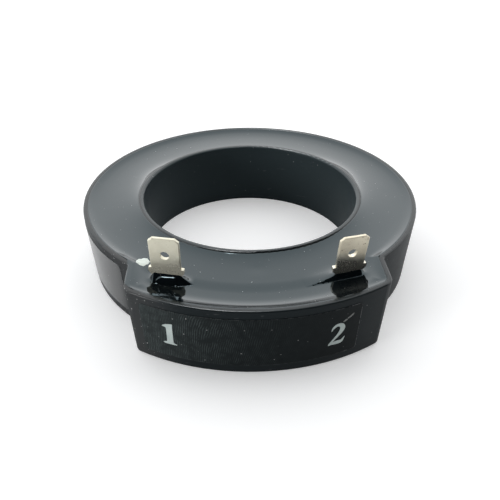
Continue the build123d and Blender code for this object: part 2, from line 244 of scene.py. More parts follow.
# %% Light scratches
light_scratches, entry, leave = open_group(
    "light_scratches", {"Scale": 60.0, "Stretch": 14.0, "Turn": 0.6, "Share": 0.3}, "Mask"
)
tree = light_scratches
turning_axis = (0.3, 0.2, 0.93)
highest_cut = 0.78
cut_by_share = 0.3
line_edge = 0.06
turning = {"Vector": object_place(tree), "Angle": entry["Turn"], "Axis": turning_axis}
parts = parts_of(put(tree, "VectorRotate", turning).outputs["Vector"])
narrow = {axis: times(parts[axis], entry["Stretch"]) for axis in "YZ"}
stretched = put(tree, "CombineXYZ", {"X": parts["X"], **narrow}).outputs["Vector"]
streaks = put(tree, "TexNoise", {"Vector": stretched, "Scale": entry["Scale"], "Detail": 3.0})
cut = minus(highest_cut, times(entry["Share"], cut_by_share))
line = span(streaks.outputs["Fac"], cut, plus(cut, line_edge))
feed(leave, line)

# %% Uneven tone
uneven_tone, entry, leave = open_group(
    "uneven_tone", {"Scale": 80.0, "Detail": 4.0, "Contrast": 2.0}, "Value"
)
tree = uneven_tone
sockets = {name: entry[name] for name in ("Scale", "Detail")}
cloud = put(tree, "TexNoise", {"Vector": object_place(tree), "Roughness": 0.6, **sockets})
wide = times(minus(cloud.outputs["Fac"], 0.5), entry["Contrast"])
feed(leave, plus(wide, 0.5, clamp=True))


def tone(tree, scale, detail, contrast):
    """Soft clouds between 0 and 1."""
    return use_group(tree, uneven_tone, Scale=scale, Detail=detail, Contrast=contrast)


# %% Fine grain
fine_grain, entry, leave = open_group("fine_grain", {"Scale": 2600.0, "Pits": 0.4}, "Height")
tree = fine_grain
pit_reach = 0.45
grain_place = {"Vector": object_place(tree), "Scale": entry["Scale"]}
bumps = put(tree, "TexNoise", {**grain_place, "Detail": 5.0})
holes = put(tree, "TexVoronoi", grain_place)
pit = times(span(holes.outputs["Distance"], 0.0, pit_reach, 1.0, 0.0), entry["Pits"])
feed(leave, minus(bumps.outputs["Fac"], pit))

# %% [markdown]
# ## Material starter
#
# Every finish here ends in one Principled BSDF.  Numbers that are the same all over are set
# on its own sockets, and only what changes over the surface is linked to it.

# %% Start a material
materials = {}
# Reflections are painted a cool blue-green: the cast of the light, painted into the material.
cool_light_tint = (0.72, 0.92, 1.0)


def start_material(name, metallic=0.0, roughness=0.5, **sockets):
    """A material with one Principled BSDF: its tree and the shader's sockets."""
    material = bpy.data.materials.new(name)
    material.use_nodes = True
    tree = material.node_tree
    shader = tree.nodes["Principled BSDF"].inputs
    for label, value in {"Metallic": metallic, "Roughness": roughness, **sockets}.items():
        feed(shader[label.replace("_", " ")], value)
    materials[name] = material
    print("material:", name)
    return tree, shader


def relief(shader, height, depth):
    """Links a height to the shader's normal; depth is the height's real size in mm."""
    bump = put(tree_of(height), "Bump", {"Height": height, "Distance": depth * mm})
    feed(shader["Normal"], bump.outputs["Normal"])


print("material starter ready")

# %% [markdown]
# ## Housing plastic
#
# The trough is moulded in black plastic with a nearly matt skin, and no moulding is quite
# even: the gloss changes in soft clouds, handling leaves fine lines, and dust sticks to it.
# The conductors rub the wall of the hole paler, the flank beside the boss is dull and dusty,
# and the very top of the rim is polished: a coat that comes in with the height.

# %% Housing plastic
hole_edge = 27.6 * mm
rim_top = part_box("housing")[1][2]
polished_from, polished_to = rim_top - 0.45 * mm, rim_top - 0.1 * mm
flank_front = -24 * mm
flank_dull, flank_clean = -25.8 * mm, -15 * mm

tree, shader = start_material(
    "housing_plastic", Specular_IOR_Level=0.12, Specular_Tint=cool_light_tint, Coat_Roughness=0.15
)
clouds = tone(tree, 45.0, 5.0, 2.2)
lines = use_group(tree, light_scratches, Scale=70.0, Stretch=18.0, Turn=0.5, Share=0.35)
dust = use_group(tree, dust_specks, Scale=1300.0, Share=0.05, Size=0.18)
grime = use_group(tree, dust_specks, Scale=1900.0, Share=0.4, Size=0.24)
place = parts_of(object_place(tree))
in_hole = calc("LESS_THAN", off_axis(place), hole_edge)
beside_boss = calc("LESS_THAN", place["Y"], flank_front)
dull = times(span(place["X"], flank_dull, flank_clean, 1.0, 0.0), beside_boss)

# %% Housing plastic, colour and gloss
skin_colour = tint(clouds, (0.003, 0.005, 0.006), (0.007, 0.009, 0.010))
rubbed = tint(in_hole, skin_colour, (0.020, 0.028, 0.031))
scuffed = tint(times(lines, 0.35), rubbed, grey(0.09, -0.04))
dusted = tint(times(dust, 0.6), scuffed, grey(0.3))
powdery = tint(times(dull, 0.8), dusted, grey(0.05, -0.02))
specked = tint(times(dull, times(grime, 0.7)), powdery, grey(0.5))
feed(shader["Base Color"], specked)
gloss = plus(times(clouds, 0.14), 0.4, times(dull, 0.42))
feed(shader["Roughness"], plus(gloss, times(lines, 0.2)))
polish = span(place["Z"], polished_from, polished_to, 0.0, 0.42)
feed(shader["Coat Weight"], polish)
skin = use_group(tree, fine_grain, Scale=2200.0, Pits=0.2)
relief(shader, minus(skin, times(lines, 0.5)), 0.006)

# %% [markdown]
# ## Potting resin
#
# Black epoxy sets with a skin like still water, so it mirrors what stands over it.  A very
# low roughness gives the sharp mirror, faint clouds keep it from looking like glass, and
# specks of dust that fell in while it was wet lie on top.

# %% Potting resin
tree, shader = start_material("potting_resin", Specular_Tint=cool_light_tint)
clouds = tone(tree, 60.0, 4.0, 2.5)
dust = use_group(tree, dust_specks, Scale=1500.0, Share=0.14, Size=0.17)
body_colour = tint(clouds, (0.002, 0.0035, 0.0045), (0.004, 0.006, 0.0075))
feed(shader["Base Color"], tint(times(dust, 0.8), body_colour, grey(0.4)))
haze = plus(times(clouds, 0.05), 0.04)
feed(shader["Roughness"], plus(haze, times(dust, 0.4)))
ripple = tone(tree, 150.0, 1.0, 1.0)
relief(shader, plus(ripple, times(dust, 2.0)), 0.012)

# %% [markdown]
# ## Tin-plated tabs
#
# The tabs are stamped from brass strip and plated with matt tin, which is grey with a warm
# cast.  Rolling leaves fine lines along the strip, and the plating is speckled with tiny
# dark pits, most of them near the tip.  The brighter and darker clouds are the uneven
# thickness of the plating.  The upper part is matt, so it is less of a mirror than the foot,
# and is painted lighter than the foot: painted light on its top.  The left tab is painted
# lighter and creamier than the right one: painted light from the left.

# %% Tin plate
tree, shader = start_material("terminal_metal", metallic=1.0)
place = parts_of(object_place(tree))
between_tabs = 10 * mm
tab_middle = 18.7 * mm
matt_lit_from, matt_lit_to = 19.8 * mm, 22.8 * mm
on_left = span(place["X"], -between_tabs, between_tabs, 1.0, 0.0)
clouds = tone(tree, 320.0, 6.0, 2.4)
off_middle = minus(calc("ABSOLUTE", place["X"]), tab_middle)
level_line = plus(place["Z"], times(off_middle, 0.25))
# Above a slanting line the tin is matt and painted lighter: real matt plating, with painted light
# on the top of the tab.
matt_and_lit_top = span(plus(level_line, times(clouds, 0.5 * mm)), matt_lit_from, matt_lit_to)
pits = use_group(tree, dust_specks, Scale=2700.0, Share=0.3, Size=0.36)
rolled = use_group(tree, light_scratches, Scale=160.0, Stretch=20.0, Turn=1.57, Share=0.6)
bright_plate = tint(clouds, (0.52, 0.50, 0.43), (0.66, 0.64, 0.56))
# Lit and shaded copies of the matt plate: the left tab is painted lighter and creamier, as painted
# light from the left.
matt_shaded_right = tint(clouds, (0.62, 0.56, 0.43), (0.80, 0.74, 0.59))
matt_lit_left = tint(clouds, (0.68, 0.65, 0.52), (0.74, 0.72, 0.59))
matt_lit_and_shaded = tint(on_left, matt_shaded_right, matt_lit_left)
# The foot of the left tab is painted lighter too: painted light from the left.
foot_plate_lit_left = tint(times(on_left, 0.6), bright_plate, matt_lit_left)
plate_colour = tint(matt_and_lit_top, foot_plate_lit_left, matt_lit_and_shaded)
worn = tint(times(rolled, 0.25), plate_colour, (0.80, 0.76, 0.62))
patches = tone(tree, 420.0, 3.0, 4.0)
near_top = times(span(place["Z"], 21.0 * mm, 24.5 * mm), patches)
few_on_left = minus(1.0, times(on_left, 0.8))
pitted = times(pits, times(span(near_top, 0.0, 1.0, 0.3, 1.0), few_on_left))
feed(shader["Base Color"], tint(pitted, worn, (0.20, 0.13, 0.07)))
metal_share = minus(1.0, times(matt_and_lit_top, 0.7))
left_share = times(span(on_left, 0.0, 1.0, 0.14, 0.5), minus(1.0, matt_and_lit_top))
feed(shader["Metallic"], minus(metal_share, left_share))
gloss = minus(0.32, times(clouds, 0.08))
feed(shader["Roughness"], plus(gloss, times(matt_and_lit_top, 0.14)))
speckle = use_group(tree, fine_grain, Scale=3200.0, Pits=0.8)
relief(shader, minus(speckle, times(pits, matt_and_lit_top)), 0.008)

# %% [markdown]
# ## Printed film of the labels
#
# The labels are silver film printed black, with the numbers left silver.  The print is laid
# down in fine rows, painted lighter as a hatch where they catch the light.  The rows lean and
# curve a little.  Towards the left end the ink is painted lighter and the hatch stronger:
# painted light from the left.  The film's cut edge shows as a broken silver line, clearest at
# the right end, which has lifted.  The pattern reads the label's own UV map, in which one unit
# is one metre along the wall.

# %% Label film
row_pitch = 0.4 * mm
row_wobble = 0.4 * mm
lit_end_to, lit_fade_from = -22 * mm, 13 * mm
lift_from, lift_full = 15 * mm, 22 * mm
edge_inner, edge_outer = 0.03 * mm, 0.14 * mm

tree, shader = start_material("label_film", Specular_IOR_Level=0.05, Coat_Roughness=0.25)
film_place = put(tree, "UVMap", uv_map="film").outputs["UV"]
film = parts_of(film_place)
curving = tone(tree, 45.0, 1.0, 2.0)
slanted = minus(film["X"], times(film["Y"], times(curving, 0.5)))
unsteady = tone(tree, 520.0, 4.0, 1.5)
across_rows = plus(slanted, times(unsteady, row_wobble))
rows = calc("SINE", times(across_rows, 2 * pi / row_pitch))
print_wear = tone(tree, 650.0, 5.0, 3.6)
# The left end is painted lighter, with a stronger hatch: painted light from the left.
lit_left_end = span(film["X"], lit_end_to, lit_fade_from, 1.0, 0.1)
hatch = times(span(rows, -0.4, 1.0), print_wear, lit_left_end)
clouds = tone(tree, 40.0, 3.0, 2.0)
ink = tint(clouds, (0.004, 0.006, 0.007), (0.007, 0.010, 0.011))
lit_share = times(calc("POWER", lit_left_end, 2.2), 0.26)
ink_lit_left = tint(lit_share, ink, (0.055, 0.068, 0.068))
hatched = tint(times(hatch, 0.52), ink_lit_left, (0.09, 0.11, 0.11))
edge_room = put(tree, "Attribute", attribute_name="edge_room").outputs["Fac"]
broken = tone(tree, 1500.0, 2.0, 6.0)
lifted_end = times(broken, span(film["X"], lift_from, lift_full, 0.25, 1.0))
edge_line = times(span(edge_room, edge_inner, edge_outer, 1.0, 0.0), lifted_end)
edged = tint(times(edge_line, 0.5), hatched, grey(0.3, -0.03))
dust = use_group(tree, dust_specks, Scale=1500.0, Share=0.07, Size=0.2)
dusty = tint(times(dust, plus(lit_left_end, 0.3)), edged, grey(0.4))

# %% [markdown]
# A short scratch runs slantwise beside the 2: a thin oval on the film, which fades towards
# its ends and sides and is torn by a noise.  Both labels share the finish, so the scratch is
# kept to the right of the axis.

# %% Scratch beside the 2
scratch_spot = {
    "Location": (20.1 * mm, 9.65 * mm, 0),
    "Rotation": (0, 0, radians(35)),
    "Scale": (1.5 * mm, 0.3 * mm, 1.0),
}
side_shine, shine_end = -31 * mm, -27 * mm
scratch_place = put(tree, "Mapping", {"Vector": film_place, **scratch_spot}, vector_type="TEXTURE")
scratch = parts_of(scratch_place.outputs["Vector"])
along_it = span(calc("ABSOLUTE", scratch["X"]), 0.85, 1.0, 1.0, 0.0)
across_it = span(calc("ABSOLUTE", scratch["Y"]), 0.5, 1.0, 1.0, 0.0)
across_x = parts_of(object_place(tree))["X"]
on_right = calc("GREATER_THAN", across_x, 0.0)
torn = tone(tree, 2200.0, 2.0, 4.0)
scratched = times(times(along_it, across_it), times(on_right, torn))
feed(shader["Base Color"], tint(scratched, dusty, (0.3, 0.31, 0.3)))
feed(shader["Coat Weight"], span(across_x, side_shine, shine_end, 0.8, 0.0))
feed(shader["Roughness"], plus(times(clouds, 0.12), 0.34))
grain = use_group(tree, fine_grain, Scale=1800.0)
relief(shader, plus(hatch, grain), 0.004)

# %% Silver of the numbers
tree, shader = start_material("number_silver")
clouds = tone(tree, 500.0, 4.0, 2.0)
silver = tint(clouds, (0.36, 0.42, 0.41), (0.52, 0.59, 0.57))
feed(shader["Base Color"], silver)
relief(shader, use_group(tree, fine_grain, Scale=2500.0), 0.004)

# %% [markdown]
# ## Paint mark
#
# A dab of white enamel marks the side of terminal 1.  It is thick enough to be glossy, a
# little green with age, and shows the black through its thin edge.

# %% Marking paint
tree, shader = start_material("marking_paint", roughness=0.35)
clouds = tone(tree, 900.0, 3.0, 2.0)
specks = use_group(tree, dust_specks, Scale=1700.0, Share=0.1, Size=0.25)
enamel = tint(clouds, (0.66, 0.74, 0.68), (0.80, 0.87, 0.82))
feed(shader["Base Color"], tint(specks, enamel, grey(0.3)))
relief(shader, clouds, 0.02)

# %% [markdown]
# ## Finishes of what the resin hides
#
# Core, case, winding and leads lie under the resin, and each still gets its own finish.

# %% Hidden finishes
cloud_scale = 300.0
grain_depth = 0.02  # in mm


def hidden_finish(name, dark, light, metallic, roughness):
    """A finish of clouds between two colours over a fine grain."""
    tree, shader = start_material(name, metallic, roughness)
    colour = tint(tone(tree, cloud_scale, 4.0, 2.0), dark, light)
    relief(shader, use_group(tree, fine_grain, Scale=4 * cloud_scale), grain_depth)
    feed(shader["Base Color"], colour)
    return tree, shader, colour


for finish in (
    ("case_plastic", (0.55, 0.53, 0.46), (0.66, 0.64, 0.56), 0.0, 0.45),
    ("pad_foam", (0.30, 0.30, 0.29), (0.42, 0.42, 0.40), 0.0, 0.9),
    ("tape_polyester", (0.62, 0.47, 0.06), (0.74, 0.58, 0.10), 0.0, 0.3),
    ("lead_copper", (0.55, 0.25, 0.13), (0.72, 0.36, 0.20), 1.0, 0.3),
    ("sleeve_tubing", (0.02, 0.02, 0.02), (0.04, 0.04, 0.04), 0.0, 0.5),
    ("solder", (0.55, 0.55, 0.54), (0.72, 0.72, 0.70), 1.0, 0.28),
):
    hidden_finish(*finish)

# %% [markdown]
# The core is a strip wound on itself, so its layers show as fine rings round the axis.  The
# winding's turns pass through the hole and lie side by side, so their lines run outwards.

# %% Wound finishes
strip_thickness = 0.1 * mm
line_waves = 800.0
tree, shader, colour = hidden_finish(
    "core_alloy", (0.38, 0.38, 0.39), (0.52, 0.52, 0.53), 1.0, 0.35
)
from_axis = off_axis(parts_of(object_place(tree)))
layers = calc("SINE", times(from_axis, 2 * pi / strip_thickness))
layered = tint(times(layers, 0.3, clamp=True), colour, grey(0.15))
feed(shader["Base Color"], layered)

tree, shader, colour = hidden_finish(
    "winding_copper", (0.42, 0.13, 0.05), (0.58, 0.22, 0.09), 0.8, 0.3
)
place = parts_of(object_place(tree))
direction = calc("ARCTAN2", place["Y"], place["X"])
wires = calc("SINE", times(direction, line_waves))
wired = tint(times(wires, 0.6, clamp=True), colour, (0.10, 0.03, 0.02))
feed(shader["Base Color"], wired)

# %% [markdown]
# ## Mesh tools
#
# Two shapes of grid cover every new piece here.  A ring is a profile carried round the axis
# and joined to itself both ways.  A plate is a front grid and a back grid of the same size,
# joined along their four borders.

# %% Mesh from grids
def grid_quads(rows, columns):
    """Corner numbers of the squares of a grid, as an array with four columns."""
    numbers = np.arange(rows * columns).reshape(rows, columns)
    corners = (numbers[:-1, :-1], numbers[1:, :-1], numbers[1:, 1:], numbers[:-1, 1:])
    return np.stack([c.ravel() for c in corners], axis=1)


def make_piece(name, points, quads, material, sharp):
    """A mesh object from points in mm and quads; edges sharper than an angle stay sharp."""
    mesh = bpy.data.meshes.new(name)
    mesh.vertices.add(len(points))
    mesh.vertices.foreach_set("co", (np.asarray(points) * mm).astype(np.float32).ravel())
    mesh.loops.add(quads.size)
    mesh.loops.foreach_set("vertex_index", quads.astype(np.int32).ravel())
    mesh.polygons.add(len(quads))
    mesh.polygons.foreach_set("loop_start", np.arange(0, quads.size, 4, dtype=np.int32))
    mesh.update(calc_edges=True)
    mesh.polygons.foreach_set("use_smooth", np.ones(len(quads), dtype=bool))
    mesh.set_sharp_from_angle(angle=radians(sharp))
    mesh.materials.append(materials[material])
    print(f"{name}: {len(points)} points, {len(quads)} quads")
    return add_object(name, mesh)


def make_ring(name, points, material, sharp):
    """A closed ring: points has one profile per row, and rows and profiles both close."""
    rows, stations = points.shape[:2]
    quads = grid_quads(rows + 1, stations + 1)
    row, station = np.divmod(quads, stations + 1)
    quads = (row % rows) * stations + station % stations
    return make_piece(name, points.reshape(-1, 3), quads, material, sharp)


def make_plate(name, front, back, material, sharp):
    """A closed plate between two grids of points; the front's rows and columns turn
    clockwise about the way it faces, so the borders and the back face outwards too."""
    rows, columns = front.shape[:2]
    count = rows * columns
    numbers = np.arange(count).reshape(rows, columns)
    rim = np.concatenate([numbers[:, 0], numbers[-1, 1:], numbers[-2::-1, -1], numbers[0, -2:0:-1]])
    following = np.roll(rim, -1)
    face = grid_quads(rows, columns)
    sides = np.stack([rim, rim + count, following + count, following], axis=1)
    quads = np.concatenate([face, face[:, ::-1] + count, sides])
    points = np.concatenate([front.reshape(-1, 3), back.reshape(-1, 3)])
    return make_piece(name, points, quads, material, sharp)


def disc_grid(count):
    """A square grid bent into a round disc of radius 1: each axis is drawn in by the other,
    x times the root of one less half of y squared."""
    line = np.linspace(-1.0, 1.0, count)
    x, y = np.meshgrid(line, line, indexing="ij")
    return x * np.sqrt(1 - y**2 / 2), y * np.sqrt(1 - x**2 / 2)


print("mesh tools ready")

# %% [markdown]
# ## Measures of the trough
#
# The new pieces have to meet the solids exactly, so their measures start from the solids'
# own boxes.  The walls lean in by 3.8 degrees towards the base, to leave the mould.

# %% Measures
housing_low, housing_high = (np.array(corner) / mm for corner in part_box("housing"))
rim_level = housing_high[2]
ring_radius = housing_high[0]
boss_radius = -housing_low[1]
tube_radius = 28.2
outer_wall = 1.2
floor_level = 1.5
resin_level = rim_level - 1.1
boss_half_width = 27.3
corner_round = 3.0
root_round = 1.2
wall_slope = tan(radians(3.8))
print("rim level, ring and boss radius:", np.round([rim_level, ring_radius, boss_radius], 3))


def round_axis(reach, angle):
    """X and y of points at a distance from the axis; the angle counts from the front."""
    return reach * np.sin(angle), -reach * np.cos(angle)


# %% Terminal frames
terminal_spots = {1: (-18.7, -35.586), 2: (18.7, -35.586)}
terminal_turns = {1: radians(-12.2), 2: radians(14.1)}
neck_half_width = 2.9
tab_half_thickness = 0.4


def seen_from_terminal(number, x, y):
    """Distances across a tab and outwards from it, of points given in x and y."""
    from_x = x - terminal_spots[number][0]
    from_y = y - terminal_spots[number][1]
    turn = terminal_turns[number]
    return from_x * cos(turn) + from_y * sin(turn), from_x * sin(turn) - from_y * cos(turn)


# %% [markdown]
# ## Outline of the trough
#
# The outline is a circle with a boss in front of it.  One function gives the signed distance
# of any point from that outline, negative inside: the greater of two distances where shapes
# cross, the lesser where they join, and an arc's own distance in its rounded corners.

# %% Outline
corner_x = boss_half_width - corner_round
corner_y = -sqrt((boss_radius - corner_round) ** 2 - corner_x**2)
root_x = boss_half_width + root_round
root_y = -sqrt((ring_radius + root_round) ** 2 - root_x**2)


def beyond_outline(x, y):
    """Distance outside the rim's outline at rim level, in mm, negative inside."""
    side_x = np.abs(x)
    reach = np.hypot(x, y)
    boss = np.maximum(side_x - boss_half_width, reach - boss_radius)
    in_corner = np.arctan2(y - corner_y, side_x - corner_x)
    round_corner = (in_corner < 0) & (in_corner > np.arctan2(corner_y, corner_x))
    boss = np.where(round_corner, np.hypot(side_x - corner_x, y - corner_y) - corner_round, boss)
    boss = np.where(y < 0, boss, 99.0)
    shape = np.minimum(reach - ring_radius, boss)
    in_root = np.arctan2(y - root_y, side_x - root_x)
    round_root = in_root > np.arctan2(-root_y, -root_x)
    root = root_round - np.hypot(side_x - root_x, y - root_y)
    return np.where(round_root & (root > -root_round), root, shape)


def wall_gap(x, y, level):
    """Distance from the inside face of the leaning wall at a level, positive inside."""
    return -(beyond_outline(x, y) + outer_wall + (rim_level - level) * wall_slope)


def reach_of(angles, room):
    """Distance from the axis, in each direction, at which the room function runs out; it is
    found by halving the step between the tube and well outside."""
    near = np.full_like(angles, tube_radius)
    far = np.full_like(angles, boss_radius + 1.0)
    for _ in range(40):
        middle = (near + far) / 2
        inside = room(*round_axis(middle, angles)) > 0
        near = np.where(inside, middle, near)
        far = np.where(inside, far, middle)
    return near


def trough_reach(angles, level):
    """Distance of the wall's inside face from the axis, at a level."""
    return reach_of(angles, lambda x, y: wall_gap(x, y, level))


front_and_side = np.array([0.0, pi / 2])
print("trough reach, front and side:", trough_reach(front_and_side, resin_level).round(3))

# %% [markdown]
# ## Surface of the resin
#
# Still resin is level in the open and climbs where it wets a wall.  The climb dies away
# with the distance from the wall, by the same share each millimetre, so it is written as a
# height times e to the power of minus the distance over a length.  It climbs the tube less
# in front and least at the back.  In the boss the resin is deep and shrinks more as it sets,
# so it sinks a little there, except where the tabs hold it up.  Beside each tab the held
# resin ends in a short steep apron that tapers off.

# %% Height of the resin
climb_length = 2.3
wall_climb = 1.0
tube_climb = {"front": 0.78, "side": 1.0, "back": 0.25}
front_sector, back_sector = (0.55, 0.9), (0.3, 0.9)  # y over the reach, from side to full
tab_climb = 0.25
tab_climb_length = 0.5
pocket_sink = 0.25
pocket_from, pocket_full = 37.6, 41.0
apron_height = {1: 1.4, 2: 0.65}
apron_width = {1: 1.5, 2: 1.1}
apron_length = {1: 2.8, 2: 7.0}
apron_back = {1: 1.2, 2: 2.4}
dimple_reach, dimple_depth = 32.8, 0.06
dimple_half_width, dimple_half_depth = 2.2, 1.6
wave_height = 0.012
blend = 2.2


def smooth(value, low, high):
    """0 below low, 1 above high and a smooth rise between: 3 t squared less 2 t cubed."""
    t = np.clip((value - low) / (high - low), 0.0, 1.0)
    return t * t * (3 - 2 * t)


def between(value, start, full_from, full_to, end):
    """1 between the two inner values, 0 outside the outer two, and smooth slopes."""
    return smooth(value, start, full_from) * (1 - smooth(value, full_to, end))


def apron(number, across, outward):
    """Height of the resin held beside a tab: it tapers off towards the boss centre, falls
    steeply in front and dies away softly behind."""
    inner = (across if number == 1 else -across) - neck_half_width
    taper = np.clip(1 - inner / apron_length[number], 0.0, 1.0) * smooth(inner, -6.8, -5.4)
    crest = tab_half_thickness + 0.15 * np.maximum(inner, 0.0)
    forward = (outward - crest) / (apron_width[number] * np.maximum(taper, 0.05))
    front = np.clip(1 - forward, 0.0, 1.0)
    behind = np.exp(-(((outward - crest) / apron_back[number]) ** 2))
    return apron_height[number] * taper * np.where(forward > 0, front, behind)


def soft_wall_gap(x, y):
    """Distance from the wall as the resin feels it: away from the wall, the sharp corners of
    the distance are blended, by the logarithm of a sum of exponentials."""
    side_x = np.abs(x)
    reach = np.hypot(x, y)
    boss = blend * np.logaddexp((side_x - boss_half_width) / blend, (reach - boss_radius) / blend)
    boss = np.where(y < 0, boss, 99.0)
    inside = blend * np.logaddexp((ring_radius - reach) / blend, -boss / blend)
    soft = inside - outer_wall - (rim_level - resin_level) * wall_slope
    exact = wall_gap(x, y, resin_level)
    return exact + (soft - exact) * smooth(exact, 0.2, 2.5)


def resin_height(x, y):
    """Height of the resin's skin in mm: level, climbs, pocket, aprons, dimple and waves."""
    reach = np.hypot(x, y)
    wall = np.maximum(soft_wall_gap(x, y), 0.0)
    tube = np.maximum(reach - tube_radius, 0.0)
    height = resin_level + wall_climb * np.exp(-wall / climb_length)
    facing = y / np.maximum(reach, 1.0)
    towards_front = smooth(-facing, *front_sector)
    towards_back = smooth(facing, *back_sector)
    climb = tube_climb["side"] + (tube_climb["front"] - tube_climb["side"]) * towards_front
    climb = climb + (tube_climb["back"] - tube_climb["side"]) * towards_back
    height = height + climb * np.exp(-tube / climb_length)
    sink = pocket_sink * smooth(reach, pocket_from, pocket_full) * smooth(wall, 0.4, 4.0)
    for number in terminal_spots:
        across, outward = seen_from_terminal(number, x, y)
        off_side = np.maximum(np.abs(across) - neck_half_width, 0.0)
        off_face = np.maximum(np.abs(outward) - tab_half_thickness, 0.0)
        off_tab = np.hypot(off_side, off_face)
        sink = sink * (1 - np.exp(-((off_tab / 1.2) ** 2)))
        height = height + tab_climb * np.exp(-off_tab / tab_climb_length)
        height = height + apron(number, across, outward)
    dimple = np.hypot(x / dimple_half_width, (y + dimple_reach) / dimple_half_depth)
    waves = np.sin(x / 4.1 + 0.6) * np.sin(y / 5.3 + 1.1) + 0.6 * np.sin((x + y) / 7.7)
    return height - sink - dimple_depth * np.exp(-(dimple**2)) + wave_height * waves


# %% [markdown]
# Next to terminal 1 the trough was filled too far, and the resin ran over the boss's rim in a
# thin film.  The share of flooding is 1 in the middle of that stretch and 0 away from it, and
# carries the skin's edge from the wall's inside face out over the rim.  On a wider stretch
# the film holds the resin inside the wall up to the rim's level.

# %% Resin over the rim
rim_round = 0.4
film_on_rim = 0.045
film_from_edge = 0.1
flood_sector = np.radians([-43.2, -41.2, -36.4, -32.5])
held_sector = np.radians([-49.0, -42.0, -36.0, -29.0])
held_length = 1.8


def rim_height(x, y):
    """Height of the rim with its rounded outer edge: a quarter of a circle."""
    inside = np.clip(-beyond_outline(x, y), 0.0, rim_round)
    rise = np.sqrt(np.maximum(rim_round**2 - (rim_round - inside) ** 2, 0.0))
    return rim_level - rim_round + rise


# %% Rows and columns of the resin's grid
def stepped(*runs):
    """One line of numbers from runs of (start, end, step), each run without its end."""
    counts = [max(2, round(abs(b - a) / step)) for a, b, step in runs]
    lines = [np.linspace(a, b, count, endpoint=False) for (a, b, _), count in zip(runs, counts)]
    return np.concatenate(lines)


half_turn = stepped((0, 12, 0.4), (12, 36, 0.16), (36, 44, 0.2), (44, 180, 0.8))
angles = np.radians(np.concatenate([half_turn, [180.0], 360.0 - half_turn[:0:-1]]))
signed_angles = np.where(angles > pi, angles - 2 * pi, angles)
near_wall = stepped((0.0, 0.03, 0.006), (0.03, 0.12, 0.012))
open_skin = stepped((0.12, 0.44, 0.024), (0.44, 0.76, 0.0068), (0.76, 0.88, 0.02))
across_share = np.concatenate([near_wall, open_skin, 1 - near_wall[::-1]])
print("resin grid:", len(angles), "directions by", len(across_share), "places across")

# %% Skin of the resin
keyed = 0.2  # how far the resin reaches into the walls
flood = between(signed_angles, *flood_sector)
wall_reach = trough_reach(angles, resin_level)
rim_reach = reach_of(angles, lambda x, y: -beyond_outline(x, y)) - film_from_edge
outer = wall_reach + keyed + flood * (rim_reach - wall_reach - keyed)
inner = tube_radius - keyed
reach = inner + (outer - inner)[:, None] * across_share[None, :]
skin_x, skin_y = round_axis(reach, angles[:, None])
skin_z = resin_height(skin_x, skin_y)
held = between(signed_angles, *held_sector)
off_wall = np.maximum(wall_gap(skin_x, skin_y, rim_level), 0.0)
held_up = held[:, None] * np.exp(-off_wall / held_length)
skin_z = skin_z + held_up * (rim_level + film_on_rim - resin_level - wall_climb)
over_rim = wall_gap(skin_x, skin_y, rim_level) < 0
skin_z = np.where(over_rim & (flood > 0)[:, None], rim_height(skin_x, skin_y) + film_on_rim, skin_z)
print("resin skin from", skin_z.min().round(3), "to", skin_z.max().round(3))

# %% Resin as one closed block
half_level = (resin_level + floor_level) / 2
walls_and_floor = (
    (half_level, 1.0), (floor_level, 1.0), (floor_level, 0.5), (floor_level, 0.0), (half_level, 0.0)
)
low_profile = []
for level, share in walls_and_floor:
    radius = inner + (trough_reach(angles, level) + keyed - inner) * share
    ring = (*round_axis(radius, angles), np.full_like(angles, level))
    low_profile.append(np.stack(ring, axis=1))
skin_points = np.stack([skin_x, skin_y, skin_z], axis=2)
block = np.concatenate([skin_points, np.stack(low_profile, axis=1)], axis=1)
resin = make_ring("resin_block", block, "potting_resin", sharp=24.0)

# %% [markdown]
# ## Bead at terminal 1
#
# A drop of resin ran down the front of this tab and set along its foot as a fat, shiny
# bead.  Its outline is a blunt oval, in which the shares across and outwards to the power of
# 3.2 add up to 1.  What that sum leaves of 1 is the height, so the top is flat and the sides
# are steep, and the whole bead slopes down outwards.  It is deeper in front than behind.

# %% Foot bead
bead_half_length = 3.6
bead_depth = {"front": 1.9, "back": 0.8}
bead_height = 1.45
bead_slope = 0.42
bead_bottom = resin_level - 1.6
bead_spot = (-18.4, -36.1)
bead_turn = radians(-8.7)
bluntness = 3.2

disc_u, disc_v = disc_grid(81)
from_middle = np.minimum(np.hypot(disc_u, disc_v), 1.0)
off_centre = np.maximum(from_middle, 1e-9)
closer_at_edge = np.sin(from_middle * pi / 2) / off_centre


def blunted(share):
    """One share of the disc, pushed out to the blunt oval and gathered at its edge."""
    pushed = np.sign(share) * np.abs(share / off_centre) ** (2 / bluntness)
    return pushed * from_middle * closer_at_edge


bead_u, bead_v = blunted(disc_u), blunted(disc_v)
fullness = np.maximum(1 - np.abs(bead_u) ** bluntness - np.abs(bead_v) ** bluntness, 0.0)
bead_across = bead_half_length * bead_u
bead_outward = np.where(bead_v > 0, bead_depth["front"], bead_depth["back"]) * bead_v
bead_x = bead_spot[0] + bead_across * cos(bead_turn) + bead_outward * sin(bead_turn)
bead_y = bead_spot[1] + bead_across * sin(bead_turn) - bead_outward * cos(bead_turn)
lump = 1 + 0.03 * np.sin(3.1 * bead_u + 0.8) - 0.04 * np.cos(5.0 * bead_u)
bead_top = resin_level + bead_height * fullness * lump - bead_slope * bead_outward
bead_front = np.stack([bead_x, bead_y, bead_top], axis=2)
bead_back = np.stack([bead_x, bead_y, np.full_like(bead_top, bead_bottom)], axis=2)
bead = make_plate("foot_bead", bead_front, bead_back, "potting_resin", sharp=60.0)

# %% [markdown]
# ## Labels
#
# A label is thin film that follows the leaning wall.  Its grid runs along the wall and up
# it, each point is put on the wall's cone and then lifted off it by the film's thickness,
# and the corners are rounded by drawing the rows in at the top and the bottom.

